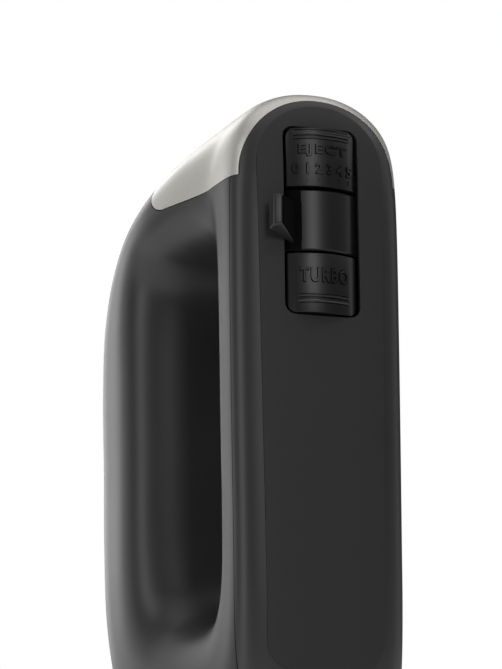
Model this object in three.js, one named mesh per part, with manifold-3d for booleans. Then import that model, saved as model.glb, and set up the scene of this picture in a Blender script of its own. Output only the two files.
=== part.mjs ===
// Hand mixer, standing on its slanted heel: nose up, handle towards -Y, belly towards +Y. Millimetres.
// Every piece is drawn in the mixer's own upright frame, where z runs from the heel to the nose and y from the
// grip surface to the belly, and the whole assembly is then leaned back until the heel face lies flat.
import * as THREE from 'three';
import { mergeVertices } from 'three/addons/utils/BufferGeometryUtils.js';
import Module from 'manifold-3d';

const wasm = await Module();
wasm.setup();

// ---- driving dimensions -------------------------------------------------------------------------------------
const LEAN = THREE.MathUtils.degToRad(9.5); // backward lean when the heel stands flat
const FRAME_Y = 76.4; // y of the standing mixer's middle, before it is moved to the origin
const WALL = 3.2; // shell wall
const GAP = 0.3; // running gap between neighbouring pieces
const SEAM_Y = 7; // parting plane between the top cover and the housings
const TRIM_Z = 171.4; // side seam of the nose trim
const TRIM_Y = 58; // rear edge of the nose trim
const TRIM_CORNER = 9; // its corner radius, and the rise of its side seam towards the rear
const TRIM_RISE = 1.5;
const ARCH = { z: 172.4, radius: 24.7 }; // rounded front of the top cover
const PANEL = { z: 175, radius: 19.6, rear: 24, rearHalf: 17.6, corner: 8, thick: 1.5 };
const RECESS = { half: 11.6, low: 129, high: 187, corner: 3 };
const CONTROL = { y: 17.5, radius: 20, half: 11 }; // crowned control tops share this axis
const EJECT = { low: 168.4, high: 186.5 };
const SELECT = { low: 148.6, high: 167.4, axisY: 17, radius: 19.2, thick: 2.4, from: -84, to: 40, tabHigh: 163.8 };
const TURBO = { low: 129.6, high: 147.6 };
const MOTOR = { y: 93, z: 88, stack: 28 }; // motor axis and the middle of its iron
const SPINDLE = { x: 18, z: 146, outer: 5.2, bore: 3.5 };
const WORM = { radius: 3.4, thread: 0.5, teeth: 20 };
const WHEEL = { root: 12.4, tip: 14.35, thick: 7 };
const SOCKET = { y: 123, outer: 12.5, bore: 8.8 }; // face and radii of the beater sockets
const INLET = { z: 40, radius: 5.3 }; // cable inlet in the belly side
const VENT = { count: 5, x: 16, half: 8, low: 66, pitch: 7, halfHeight: 1.4, corner: 1.3 };
const HEEL_FRONT = 15; // y where the heel face meets the grip side
const PAD = { x: 13, half: 5, from: 30, to: 88, proud: 1 }; // rubber pads on the heel face
const SCREWS = [[48, 164], [44, 26], [111, 56], [86, 170]]; // [y, z] of the housing screws

// The handle loop: stations run round the finger opening from the belly over the nose to the grip and the heel.
// Each is [outer y, outer z, inner y, inner z, half width, outer squareness, inner squareness].
const STATIONS = [
  [121, 100, 67, 100, 39, 2.8, 4.6],
  [121.5, 124, 67.5, 122, 39.2, 2.8, 4.6],
  [119, 146, 67.5, 140, 39.3, 2.7, 4.2],
  [110, 164, 65.5, 151, 39, 2.6, 3.6],
  [92, 178.5, 60, 156.5, 38.7, 2.55, 3],
  [70, 188, 53, 158, 37.4, 2.5, 2.7],
  [48, 194.8, 46, 158, 34.2, 2.4, 2.6],
  [28, 199, 39, 156.5, 30.6, 2.15, 2.5],
  [14, 200.8, 34.5, 153.5, 28.2, 2.1, 2.6],
  [5.5, 199, 32, 151, 27.6, 2.3, 2.6],
  [1.2, 190.5, 30.5, 148, 27.2, 3.1, 2.7],
  [0.1, 176, 29, 143.5, 27, 4, 2.8],
  [0, 158, 28, 136, 26.9, 4.5, 2.8],
  [0, 134, 27.5, 121, 26.8, 4.6, 2.8],
  [0, 98, 27.5, 98, 26.6, 4.6, 2.8],
  [0, 62, 27.5, 76, 26.3, 4.6, 2.8],
  [0.3, 38, 28, 60, 26.4, 4.2, 2.8],
  [2.5, 17, 31, 52, 27, 3.6, 2.8],
  [10, -1, 36, 47.5, 28.6, 3, 2.8],
  [30, -9, 43, 46, 31, 2.8, 2.8],
  [58, -6, 51, 46.5, 33.6, 2.7, 2.8],
  [86, 2, 59, 49.5, 36, 2.7, 3],
  [106, 17, 64.5, 56, 37.6, 2.7, 3.6],
  [117.5, 43, 66.5, 67, 38.5, 2.8, 4.2],
  [120.5, 72, 67, 83, 38.9, 2.8, 4.6],
];

// ---- solids -------------------------------------------------------------------------------------------------
function solid(geometry) {
  const bare = geometry.clone();
  for (const name of Object.keys(bare.attributes)) {
    if (name !== 'position') bare.deleteAttribute(name);
  }
  const merged = mergeVertices(bare, 1e-4);
  const kept = [];
  const index = merged.index.array;
  for (let i = 0; i < index.length; i += 3) {
    const [a, b, c] = [index[i], index[i + 1], index[i + 2]];
    if (a !== b && b !== c && c !== a) kept.push(a, b, c);
  }
  return new wasm.Manifold(new wasm.Mesh({
    numProp: 3,
    vertProperties: Float32Array.from(merged.attributes.position.array),
    triVerts: Uint32Array.from(kept),
  }));
}

function geometryOf(body) {
  const mesh = body.getMesh();
  const points = [];
  for (let i = 0; i < mesh.vertProperties.length; i += mesh.numProp) {
    points.push(mesh.vertProperties[i], mesh.vertProperties[i + 1], mesh.vertProperties[i + 2]);
  }
  const geometry = new THREE.BufferGeometry();
  geometry.setAttribute('position', new THREE.Float32BufferAttribute(points, 3));
  geometry.setIndex(Array.from(mesh.triVerts));
  geometry.computeVertexNormals();
  return geometry;
}

// A box from its low corner to its high corner.
function box(low, high) {
  const size = [0, 1, 2].map((i) => high[i] - low[i]);
  const geometry = new THREE.BoxGeometry(...size);
  geometry.translate(...[0, 1, 2].map((i) => (low[i] + high[i]) / 2));
  return solid(geometry);
}

function shapeOf(points) {
  return new THREE.Shape(points.map(([a, b]) => new THREE.Vector2(a, b)));
}

function extruded(shape, depth, curveSegments = 8) {
  return new THREE.ExtrudeGeometry(shape, { depth, bevelEnabled: false, curveSegments });
}

// A shape drawn in x and y, extruded from z = from to z = to.
function alongZ(shape, from, to, curveSegments) {
  const geometry = extruded(shape, to - from, curveSegments);
  geometry.translate(0, 0, from);
  return solid(geometry);
}

// A shape drawn in x and z, extruded from y = from to y = to.
function alongY(shape, from, to, curveSegments) {
  const geometry = extruded(shape, to - from, curveSegments);
  geometry.rotateX(Math.PI / 2);
  geometry.translate(0, to, 0);
  return solid(geometry);
}

// A shape drawn in y and z, extruded from x = from to x = to.
function alongX(shape, from, to, curveSegments) {
  const geometry = extruded(shape, to - from, curveSegments);
  geometry.applyMatrix4(new THREE.Matrix4().makeBasis(
    new THREE.Vector3(0, 1, 0), new THREE.Vector3(0, 0, 1), new THREE.Vector3(1, 0, 0)));
  geometry.translate(from, 0, 0);
  return solid(geometry);
}

// A closed profile of [radius, height] points turned about an axis through a point.
function turned(profile, axis, at, segments = 18) {
  const closed = [...profile, profile[0]].map(([r, h]) => new THREE.Vector2(r, h));
  const geometry = new THREE.LatheGeometry(closed, segments);
  if (axis === 'z') geometry.rotateX(Math.PI / 2);
  if (axis === 'x') geometry.rotateZ(-Math.PI / 2);
  geometry.translate(...at);
  const made = solid(geometry);
  return made.volume() < 0 ? solid(flipped(geometry)) : made;
}

function flipped(geometry) {
  const out = geometry.clone();
  const index = out.index.array;
  for (let i = 0; i < index.length; i += 3) {
    [index[i], index[i + 1]] = [index[i + 1], index[i]];
  }
  return out;
}

function ring(inner, outer, low, high) {
  return [[inner, low], [outer, low], [outer, high], [inner, high]];
}

function disc(radius, low, high) {
  return [[0, low], [radius, low], [radius, high], [0, high]];
}

function roundedRect(x0, x1, y0, y1, r) {
  const shape = new THREE.Shape();
  shape.moveTo(x0 + r, y0);
  shape.lineTo(x1 - r, y0);
  shape.absarc(x1 - r, y0 + r, r, -Math.PI / 2, 0, false);
  shape.lineTo(x1, y1 - r);
  shape.absarc(x1 - r, y1 - r, r, 0, Math.PI / 2, false);
  shape.lineTo(x0 + r, y1);
  shape.absarc(x0 + r, y1 - r, r, Math.PI / 2, Math.PI, false);
  shape.lineTo(x0, y0 + r);
  shape.absarc(x0 + r, y0 + r, r, Math.PI, Math.PI * 1.5, false);
  return shape;
}

// ---- the handle loop ----------------------------------------------------------------------------------------
function station(t) {
  const n = STATIONS.length;
  const k = Math.floor(t);
  const f = t - k;
  const [a, b, c, d] = [-1, 0, 1, 2].map((i) => STATIONS[(k + i + n) % n]);
  return b.map((_, i) => 0.5 * (2 * b[i] + (c[i] - a[i]) * f
    + (2 * a[i] - 5 * b[i] + 4 * c[i] - d[i]) * f * f
    + (3 * b[i] - a[i] - 3 * c[i] + d[i]) * f * f * f));
}

function power(value, exponent) {
  return Math.sign(value) * Math.abs(value) ** exponent;
}

// The loop's skin, moved inwards by an inset. A torus is bent so that each of its rings follows a station.
function loop(inset, around, across) {
  const geometry = new THREE.TorusGeometry(2, 1, across, around);
  const place = geometry.attributes.position;
  for (let i = 0; i < place.count; i += 1) {
    const [tx, ty, tz] = [place.getX(i), place.getY(i), place.getZ(i)];
    const turn = (Math.atan2(ty, tx) / (2 * Math.PI) + 1) % 1;
    const [oy, oz, iy, iz, half, outerPower, innerPower] = station(turn * STATIONS.length);
    const out = Math.hypot(tx, ty) - 2;
    const square = 2 / (out > 0 ? outerPower : innerPower);
    const span = Math.hypot(oy - iy, oz - iz);
    const reach = 0.5 + (0.5 - inset / span) * power(out, square);
    place.setXYZ(i, (half - inset) * power(tz, square), iy + (oy - iy) * reach, iz + (oz - iz) * reach);
  }
  return solid(geometry);
}

const heelTilt = Math.tan(LEAN);
function aboveHeel(lift) {
  const at = (y) => (y - HEEL_FRONT) * heelTilt + lift;
  return alongX(shapeOf([[-60, at(-60)], [220, at(220)], [220, 320], [-60, 320]]), -70, 70);
}

function trimRegion(grow) {
  const shape = new THREE.Shape();
  shape.moveTo(-30, TRIM_Z - grow);
  const rear = TRIM_Z + TRIM_RISE;
  shape.lineTo(TRIM_Y - TRIM_CORNER, rear - grow);
  shape.absarc(TRIM_Y - TRIM_CORNER, rear + TRIM_CORNER, TRIM_CORNER + grow, -Math.PI / 2, 0, false);
  shape.lineTo(TRIM_Y + grow, 230);
  shape.lineTo(-30, 230);
  const arch = new THREE.Shape();
  arch.moveTo(ARCH.radius - grow, 140);
  arch.lineTo(ARCH.radius - grow, ARCH.z);
  arch.absarc(0, ARCH.z, ARCH.radius - grow, 0, Math.PI, false);
  arch.lineTo(grow - ARCH.radius, 140);
  return alongX(shape, -60, 60).subtract(alongY(arch, -20, SEAM_Y + GAP / 2 - grow, 16));
}

function panelOutline(grow) {
  const r = PANEL.radius + grow;
  const rear = PANEL.rearHalf + grow;
  const c = PANEL.corner;
  const shape = new THREE.Shape();
  shape.moveTo(r, PANEL.z);
  shape.absarc(0, PANEL.z, r, 0, Math.PI, false);
  shape.lineTo(-rear, PANEL.rear + c);
  shape.absarc(-rear + c, PANEL.rear + c, c, Math.PI, Math.PI * 1.5, false);
  shape.absarc(rear - c, PANEL.rear + c, c, Math.PI * 1.5, Math.PI * 2, false);
  return shape;
}

const skin = loop(0, 40, 18);
const cavity = loop(WALL, 26, 12).intersect(aboveHeel(WALL));
const recess = alongY(roundedRect(-RECESS.half, RECESS.half, RECESS.low, RECESS.high, RECESS.corner), -12, 12, 4);
const underPanel = loop(PANEL.thick, 30, 12);
const sweepRoom = turned(disc(SELECT.radius + 0.4, SELECT.low - 0.5, SELECT.high + 0.5), 'z',
  [0, SELECT.axisY, 0], 28);

// Bosses round the beater sockets stand out of the belly.
function socketBosses(radius, from, to) {
  const left = turned(disc(radius, from, to), 'y', [-SPINDLE.x, 0, SPINDLE.z], 20);
  return left.add(turned(disc(radius, from, to), 'y', [SPINDLE.x, 0, SPINDLE.z], 20));
}

let shell = skin.intersect(aboveHeel(0)).add(socketBosses(SOCKET.outer, 104, SOCKET.y)).subtract(cavity);
shell = shell.subtract(socketBosses(SOCKET.bore, 90, SOCKET.y + 5));
const inletBore = turned(disc(INLET.radius, 90, 130), 'y', [0, 0, INLET.z], 18);

// Screw columns run from wall to wall inside the housings, each with a head pocket on the right.
function screwColumns() {
  const columns = SCREWS.map(([y, z]) => turned(disc(4.4, -60, 60), 'x', [0, y, z], 10));
  return columns.reduce((sum, one) => sum.add(one)).intersect(skin).intersect(aboveHeel(1));
}

function screwHoles() {
  return SCREWS.map(([y, z]) => turned([[0, -10], [1.6, -10], [1.6, 13], [3.2, 13], [3.2, 60], [0, 60]],
    'x', [0, y, z], 10)).reduce((sum, one) => sum.add(one));
}

function heelPad(side, grow) {
  const at = (y, lift) => [y, (y - HEEL_FRONT) * heelTilt + lift];
  const [from, to, top] = [PAD.from - grow, PAD.to + grow, PAD.proud + grow];
  const shape = shapeOf([at(from, -PAD.proud), at(to, -PAD.proud), at(to, top), at(from, top)]);
  return alongX(shape, side * PAD.x - PAD.half - grow, side * PAD.x + PAD.half + grow);
}

function ventSlots() {
  let slots = null;
  for (let i = 0; i < VENT.count; i += 1) {
    const z = VENT.low + i * VENT.pitch;
    for (const side of [-1, 1]) {
      const x = side * VENT.x;
      const outline = roundedRect(x - VENT.half, x + VENT.half, z - VENT.halfHeight, z + VENT.halfHeight,
        VENT.corner);
      const slot = alongY(outline, 108, 130, 1);
      slots = slots ? slots.add(slot) : slot;
    }
  }
  return slots;
}

const coverSide = box([-60, -20, -40], [60, SEAM_Y - GAP / 2, 260]);
const housingSide = box([-60, SEAM_Y + GAP / 2, -40], [60, 160, 260]);
const housing = shell.add(screwColumns()).intersect(housingSide).subtract(trimRegion(GAP))
  .subtract(screwHoles()).subtract(inletBore).subtract(ventSlots())
  .subtract(heelPad(-1, GAP)).subtract(heelPad(1, GAP));

// ---- controls -----------------------------------------------------------------------------------------------
function crown(half, bottom) {
  const edge = Math.asin(half / CONTROL.radius);
  const shape = new THREE.Shape();
  shape.moveTo(half, bottom);
  shape.lineTo(half, CONTROL.y - CONTROL.radius * Math.cos(edge));
  shape.absarc(0, CONTROL.y, CONTROL.radius, -Math.PI / 2 + edge, -Math.PI / 2 - edge, true);
  shape.lineTo(-half, bottom);
  return shape;
}

// Raised bars across a crowned control top.
function crownRibs(heights, half) {
  return heights.map((z) => {
    const bar = new THREE.Shape();
    const edge = Math.asin(half / CONTROL.radius);
    bar.absarc(0, CONTROL.y, CONTROL.radius + 0.6, -Math.PI / 2 + edge, -Math.PI / 2 - edge, true);
    bar.absarc(0, CONTROL.y, CONTROL.radius - 0.4, -Math.PI / 2 - edge, -Math.PI / 2 + edge, false);
    return alongZ(bar, z - 0.5, z + 0.5, 5);
  }).reduce((sum, one) => sum.add(one));
}

function controlButton(span, ribs) {
  const top = alongZ(crown(CONTROL.half, 7), span.low, span.high, 8);
  const hollow = box([-9.4, 3.2, span.low + 1.6], [9.4, 8, span.high - 1.6]);
  const corners = alongY(roundedRect(-CONTROL.half, CONTROL.half, RECESS.low + 0.6, RECESS.high - 0.5,
    RECESS.corner - 0.5), -12, 12, 3);
  return top.subtract(hollow).intersect(corners).add(crownRibs(ribs, 9));
}

function speedSelector() {
  const rad = THREE.MathUtils.degToRad;
  const [from, to] = [rad(SELECT.from - 90), rad(SELECT.to - 90)];
  const plate = new THREE.Shape();
  plate.absarc(0, SELECT.axisY, SELECT.radius, from, to, false);
  plate.absarc(0, SELECT.axisY, SELECT.radius - SELECT.thick, to, from, true);
  const tab = shapeOf([[-7.4, 1.2], [-9, 1.2], [-10.3, 0.1], [-18, -4.2], [-17, -6.3], [-14.6, -6.9]]);
  const slant = alongX(shapeOf([[-20, 154.8], [-6.4, 154.4], [3, 149.4], [3, 140], [-20, 140]]), -30, 30);
  return alongZ(plate, SELECT.low, SELECT.high, 20).add(
    alongZ(tab, SELECT.low + 0.4, SELECT.tabHigh).subtract(slant));
}

// ---- helical pieces -----------------------------------------------------------------------------------------
class Helix extends THREE.Curve {
  constructor(radius, pitch, turns, axis, at) {
    super();
    Object.assign(this, { radius, pitch, turns, axis, at });
  }

  getPoint(t, target = new THREE.Vector3()) {
    const angle = t * this.turns * 2 * Math.PI;
    const height = t * this.turns * this.pitch;
    const [a, b] = [this.radius * Math.cos(angle), this.radius * Math.sin(angle)];
    if (this.axis === 'z') return target.set(this.at[0] + a, this.at[1] + b, this.at[2] + height);
    return target.set(this.at[0] + a, this.at[1] + height, this.at[2] - b);
  }
}

function coil(helix, wire, stepsPerTurn, sides) {
  const corner = (i) => (i / sides) * Math.PI * 2;
  const section = shapeOf(Array.from({ length: sides }, (_, i) => (
    [wire * Math.cos(corner(i)), wire * Math.sin(corner(i))])));
  return solid(new THREE.ExtrudeGeometry(section, {
    steps: Math.round(helix.turns * stepsPerTurn), extrudePath: helix,
  }));
}

// ---- motor --------------------------------------------------------------------------------------------------
const stackLow = MOTOR.z - MOTOR.stack / 2;
const stackHigh = MOTOR.z + MOTOR.stack / 2;

function aboutMotor(profile, segments) {
  return turned(profile, 'z', [0, MOTOR.y, 0], segments);
}

function statorCore() {
  const outline = roundedRect(-25, 25, MOTOR.y - 21.5, MOTOR.y + 21.5, 7);
  let core = alongZ(outline, stackLow, stackHigh, 5).subtract(aboutMotor(disc(14.5, 0, 200), 24));
  for (const side of [-1, 1]) {
    for (const edge of [-1, 1]) {
      const [x0, x1] = side < 0 ? [-19.5, -11] : [11, 19.5];
      const [y0, y1] = edge < 0 ? [-17, -8.5] : [8.5, 17];
      core = core.subtract(box([x0, MOTOR.y + y0, 0], [x1, MOTOR.y + y1, 200]));
    }
  }
  return core;
}

function fieldCoil(side) {
  const [x0, x1] = side < 0 ? [-19.1, -15.2] : [15.2, 19.1];
  const outer = roundedRect(MOTOR.y - 15, MOTOR.y + 15, stackLow - 7, stackHigh + 7, 5);
  outer.holes.push(roundedRect(MOTOR.y - 8.9, MOTOR.y + 8.9, stackLow - 0.4, stackHigh + 0.4, 0.3));
  return alongX(outer, x0, x1, 4);
}

function armatureCore() {
  const slots = 9;
  const outline = new THREE.Shape();
  for (let i = 0; i < slots; i += 1) {
    const middle = (i / slots) * Math.PI * 2;
    outline.absarc(0, MOTOR.y, 13.6, middle - 0.26, middle + 0.26, false);
    outline.absarc(0, MOTOR.y, 9.4, middle + 0.28, middle + 0.42, false);
  }
  return alongZ(outline, stackLow, stackHigh, 2).subtract(aboutMotor(disc(2.9, 0, 200), 12));
}

function armatureEnd(from, to) {
  return aboutMotor([[3, from], [11, from], [12.4, (from + to) / 2], [11, to], [3, to]], 18);
}

function coolingFan() {
  let fan = aboutMotor(ring(2.9, 7, 113, 121), 12).add(aboutMotor(ring(2.9, 20, 119.4, 121), 24));
  for (let i = 0; i < 9; i += 1) {
    const blade = new THREE.BoxGeometry(13.5, 1.2, 6.6);
    blade.translate(12.9, 0, 116.4);
    blade.rotateZ((i / 9) * Math.PI * 2);
    blade.translate(0, MOTOR.y, 0);
    fan = fan.add(solid(blade));
  }
  return fan;
}

const pitchRadius = SPINDLE.x - WORM.radius;
const wormPitch = (2 * Math.PI * pitchRadius) / WORM.teeth;

function motorShaft() {
  const turns = 3;
  const start = SPINDLE.z - (turns / 2) * wormPitch;
  const thread = coil(new Helix(WORM.radius, wormPitch, turns, 'z', [0, MOTOR.y, start]), WORM.thread, 9, 5);
  const shaft = aboutMotor([[0, 40], [2.6, 40], [2.6, 133], [3.2, 134], [3.2, 160], [2.6, 161], [2.6, 162.6],
    [0, 162.6]], 16);
  return shaft.add(thread);
}

function wormWheel(side) {
  const outline = new THREE.Shape();
  const step = (Math.PI * 2) / WORM.teeth;
  const start = side > 0 ? Math.PI : 0; // a tooth space faces the worm's thread
  for (let i = 0; i < WORM.teeth; i += 1) {
    const middle = start + (i + (side > 0 ? 0 : 0.5)) * step;
    outline.absarc(0, 0, WHEEL.tip, middle - 0.04, middle + 0.04, false);
    outline.absarc(0, 0, WHEEL.root, middle + 0.1, middle + step - 0.1, false);
  }
  const gear = alongY(outline, MOTOR.y - WHEEL.thick / 2, MOTOR.y + WHEEL.thick / 2, 1);
  return gear.subtract(turned(disc(SPINDLE.outer + 0.3, 60, 130), 'y', [0, 0, 0])).translate([
    side * SPINDLE.x, 0, SPINDLE.z]);
}

function beaterSpindle(side) {
  const [outer, bore] = [SPINDLE.outer, SPINDLE.bore];
  const tube = turned([[bore, 80], [outer, 80], [outer, 96.8], [6.6, 96.8], [6.6, 99], [outer, 99],
    [outer, SOCKET.y + 1.5], [bore + 0.8, SOCKET.y + 1.5], [bore, SOCKET.y + 0.7]], 'y', [0, 0, 0]);
  return tube.translate([side * SPINDLE.x, 0, SPINDLE.z]);
}

function gearFrame() {
  let plate = alongY(roundedRect(-28.5, 28.5, 132, 158, 5), 99.8, 102.8, 3);
  for (const side of [-1, 1]) {
    plate = plate.subtract(turned(disc(SPINDLE.outer + 0.4, 60, 130), 'y', [side * SPINDLE.x, 0, SPINDLE.z]));
  }
  return plate;
}

function screw([y, z]) {
  const body = turned([[0, -8], [0.6, -9], [1.2, -8], [1.2, 13.3], [2.8, 13.3], [2.8, 15], [2.2, 15.6], [0, 15.6]],
    'x', [0, y, z], 10);
  return body.subtract(box([14.6, y - 1.6, z - 0.3], [17, y + 1.6, z + 0.3]))
    .subtract(box([14.6, y - 0.3, z - 1.6], [17, y + 0.3, z + 1.6]));
}

// The eject fork reaches from the button down the nose pillar and over the two spindles.
function ejectFork() {
  const rod = box([-4, 9, 172.6], [4, 73, 177]);
  const foot = alongY(roundedRect(-24, 24, 140, 177, 7), 73, 75.6, 4);
  const cut = box([-9, 60, 130], [9, 90, 160]);
  return rod.add(foot.subtract(cut));
}

function cordGland() {
  return turned([[3.4, 103.5], [7.5, 103.5], [7.5, 107], [4.9, 107], [4.9, 119], [6.4, 119], [6.4, 121], [4.6, 127],
    [3.4, 127]], 'y', [0, 0, INLET.z], 18);
}

function bushing(side) {
  return turned(ring(SPINDLE.outer + 0.35, SOCKET.bore - GAP, 108, SOCKET.y - 0.6), 'y',
    [side * SPINDLE.x, 0, SPINDLE.z]);
}

function brushHolder(side) {
  const [x0, x1] = side < 0 ? [-24, -11.2] : [11.2, 24];
  const sleeve = box([x0, MOTOR.y - 4.6, 57], [x1, MOTOR.y + 4.6, 65.8]);
  return sleeve.subtract(box([-40, MOTOR.y - 3, 58.6], [40, MOTOR.y + 3, 64.2]));
}

function carbonBrush(side) {
  const [x0, x1] = side < 0 ? [-22, -9.5] : [9.5, 22];
  return box([x0, MOTOR.y - 2.7, 58.9], [x1, MOTOR.y + 2.7, 63.9]);
}

function commutator() {
  let body = aboutMotor(ring(2.9, 9, 56, 67.5), 18);
  for (let i = 0; i < 12; i += 1) {
    const slot = new THREE.BoxGeometry(2, 0.5, 13);
    slot.translate(9.2, 0, 61.8);
    slot.rotateZ((i / 12) * Math.PI * 2);
    slot.translate(0, MOTOR.y, 0);
    body = body.subtract(solid(slot));
  }
  return body;
}

// ---- materials and assembly -----------------------------------------------------------------------------------
const LOOKS = {
  shell: { color: 0x2c2c2e, roughness: 0.45, metalness: 0 },
  panel: { color: 0x232325, roughness: 0.8, metalness: 0 },
  silver: { color: 0xc6c3bb, roughness: 0.38, metalness: 0.7 },
  control: { color: 0x1c1c1e, roughness: 0.3, metalness: 0 },
  rubber: { color: 0x18181a, roughness: 0.9, metalness: 0 },
  nylon: { color: 0xe4e1d6, roughness: 0.5, metalness: 0 },
  steel: { color: 0xa9abad, roughness: 0.35, metalness: 1 },
  iron: { color: 0x6d6f72, roughness: 0.55, metalness: 0.9 },
  copper: { color: 0xb26b3a, roughness: 0.4, metalness: 0.9 },
  board: { color: 0x1f5a37, roughness: 0.6, metalness: 0 },
  carbon: { color: 0x2a2a2a, roughness: 0.7, metalness: 0.1 },
};
const materials = Object.fromEntries(Object.entries(LOOKS).map(([name, look]) => (
  [name, new THREE.MeshStandardMaterial(look)])));

const upright = new THREE.Group();

function piece(name, look, body) {
  const mesh = new THREE.Mesh(geometryOf(body), materials[look]);
  mesh.name = name;
  upright.add(mesh);
}

piece('left_housing', 'shell', housing.intersect(box([-80, -20, -40], [-GAP / 2, 160, 260])));
piece('right_housing', 'shell', housing.intersect(box([GAP / 2, -20, -40], [80, 160, 260])));
piece('nose_trim', 'silver', shell.intersect(trimRegion(0)));
const pocket = alongY(panelOutline(GAP), -20, SEAM_Y, 14).subtract(loop(PANEL.thick + GAP, 30, 12));
piece('handle_cover', 'shell', shell.intersect(coverSide).subtract(trimRegion(GAP)).subtract(recess)
  .subtract(pocket).subtract(sweepRoom));
piece('grip_panel', 'panel', skin.intersect(alongY(panelOutline(0), -20, SEAM_Y, 14)).subtract(underPanel)
  .subtract(recess).subtract(sweepRoom).intersect(box([-60, -20, -40], [60, SEAM_Y - 2, 260])));

piece('eject_button', 'control', controlButton(EJECT, [184.6, 182.9]));
piece('turbo_button', 'control', controlButton(TURBO, [133.4, 131.8]));
piece('speed_selector', 'control', speedSelector());
piece('eject_fork', 'nylon', ejectFork());
piece('eject_spring', 'steel', coil(new Helix(5.6, 3.4, 5, 'y', [0, 11, 174.8]), 0.5, 8, 4));
piece('turbo_spring', 'steel', coil(new Helix(3, 2, 3, 'y', [0, 4, 138.5]), 0.4, 8, 4));
piece('control_board', 'board', box([-14, 21, 88], [14, 22.6, 146]));
piece('speed_switch', 'nylon', box([-10, 11.6, 131], [10, 20.7, 146.5]));
piece('suppression_capacitor', 'control', box([-9, 12, 92], [9, 20.7, 112]));

piece('stator_core', 'iron', statorCore());
piece('armature_core', 'iron', armatureCore());
piece('armature_winding_rear', 'copper', armatureEnd(70, stackLow - 0.4));
piece('armature_winding_front', 'copper', armatureEnd(stackHigh + 0.4, 109));
piece('motor_shaft', 'steel', motorShaft());
piece('commutator', 'copper', commutator());
piece('cooling_fan', 'nylon', coolingFan());
piece('rear_bearing', 'steel', aboutMotor(ring(2.9, 8, 44, 51), 18));
piece('front_bearing', 'steel', aboutMotor(ring(2.9, 8, 124, 131), 18));
piece('gear_frame', 'steel', gearFrame());
piece('cord_gland', 'rubber', cordGland());

for (const [word, side] of [['left', -1], ['right', 1]]) {
  piece(`field_coil_${word}`, 'copper', fieldCoil(side));
  piece(`brush_holder_${word}`, 'nylon', brushHolder(side));
  piece(`carbon_brush_${word}`, 'carbon', carbonBrush(side));
  piece(`worm_wheel_${word}`, 'nylon', wormWheel(side));
  piece(`beater_spindle_${word}`, 'steel', beaterSpindle(side));
  piece(`socket_bushing_${word}`, 'nylon', bushing(side));
  piece(`heel_pad_${word}`, 'rubber', heelPad(side, 0));
}
SCREWS.forEach((at, i) => piece(`housing_screw_${i + 1}`, 'steel', screw(at)));

// Stand the mixer on its heel pads, which stand 1 mm proud of the heel face.
upright.position.z = HEEL_FRONT * Math.sin(LEAN) + PAD.proud * Math.cos(LEAN);
upright.rotation.x = -LEAN;
const mixer = new THREE.Group();
mixer.add(upright);
mixer.position.y = -FRAME_Y;

export default mixer;
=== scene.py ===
"""Hand mixer on its heel: fine skins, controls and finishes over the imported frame."""

import math

import bmesh
import bpy
from bpy.props import FloatProperty, FloatVectorProperty, IntProperty, PointerProperty, StringProperty
from mathutils import Matrix, Vector


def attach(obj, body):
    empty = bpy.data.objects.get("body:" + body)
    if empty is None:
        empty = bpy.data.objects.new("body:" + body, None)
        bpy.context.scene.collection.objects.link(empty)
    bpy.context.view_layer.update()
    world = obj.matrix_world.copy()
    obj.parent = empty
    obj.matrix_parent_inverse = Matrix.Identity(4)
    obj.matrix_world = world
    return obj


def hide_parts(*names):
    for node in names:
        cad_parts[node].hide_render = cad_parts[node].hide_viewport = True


bl_info = {
    "name": "Hand Mixer",
    "version": (1, 0, 0),
    "blender": (4, 5, 0),
    "location": "View3D > Sidebar > Hand Mixer",
    "description": "Builds a hand mixer with its controls, sockets and finishes",
    "category": "Add Mesh",
}

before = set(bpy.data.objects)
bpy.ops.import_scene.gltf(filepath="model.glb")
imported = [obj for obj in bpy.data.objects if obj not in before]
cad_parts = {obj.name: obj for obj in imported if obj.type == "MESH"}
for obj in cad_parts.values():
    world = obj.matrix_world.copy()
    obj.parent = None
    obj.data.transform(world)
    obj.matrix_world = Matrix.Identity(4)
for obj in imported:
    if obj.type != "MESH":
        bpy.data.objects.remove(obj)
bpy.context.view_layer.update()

# ---- the mixer's own frame, in millimetres ------------------------------------------------------------------
LEAN = math.radians(9.5)
FRAME_Y = 76.4
SEAM_Y = 7.0
GAP = 0.3
TRIM_Z = 171.4
TRIM_Y = 58.0
TRIM_RISE = 1.5
TRIM_CORNER = 9.0
ARCH_Z = 172.4
ARCH_RADIUS = 24.7
PANEL_Z = 175.0
PANEL_RADIUS = 19.6
PANEL_REAR = 24.0
PANEL_REAR_HALF = 17.6
PANEL_CORNER = 8.0
RECESS_HALF = 11.6
RECESS_LOW = 129.0
RECESS_HIGH = 187.0
RECESS_CORNER = 3.0
CROWN_Y = 17.5
CROWN_RADIUS = 20.0
CONTROL_HALF = 10.75
CONTROL_DEPTH = 5.2
EJECT_SPAN = (168.4, 186.5)
SELECT_SPAN = (148.6, 167.4)
TURBO_SPAN = (129.6, 147.6)
TAB_HIGH = 163.8
SELECT_Y = 17.0
SELECT_RADIUS = 19.2
SPINDLE_X = 18.0
SPINDLE_Z = 146.0
SOCKET_Y = 123.0
SOCKET_BORE = 8.8
SOCKET_OUTER = 12.5
INLET_Z = 40.0
INLET_RADIUS = 5.3
BELLY_Y = 95.0
VENT_COUNT = 5
VENT_X = 16.0
VENT_LOW = 66.0
VENT_PITCH = 7.0
VENT_HALF = 8.0
VENT_HALF_HEIGHT = 1.4
VENT_CORNER = 1.3
HEEL_FRONT = 15.0
PAD_X = 13.0
PAD_HALF = 5.0
PAD_SPAN = (30.0, 88.0)
SCREWS = ((48.0, 164.0), (44.0, 26.0), (111.0, 56.0), (86.0, 170.0))
SCREW_POCKET = 3.2
FAR_OUTSIDE = -20.0

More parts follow.
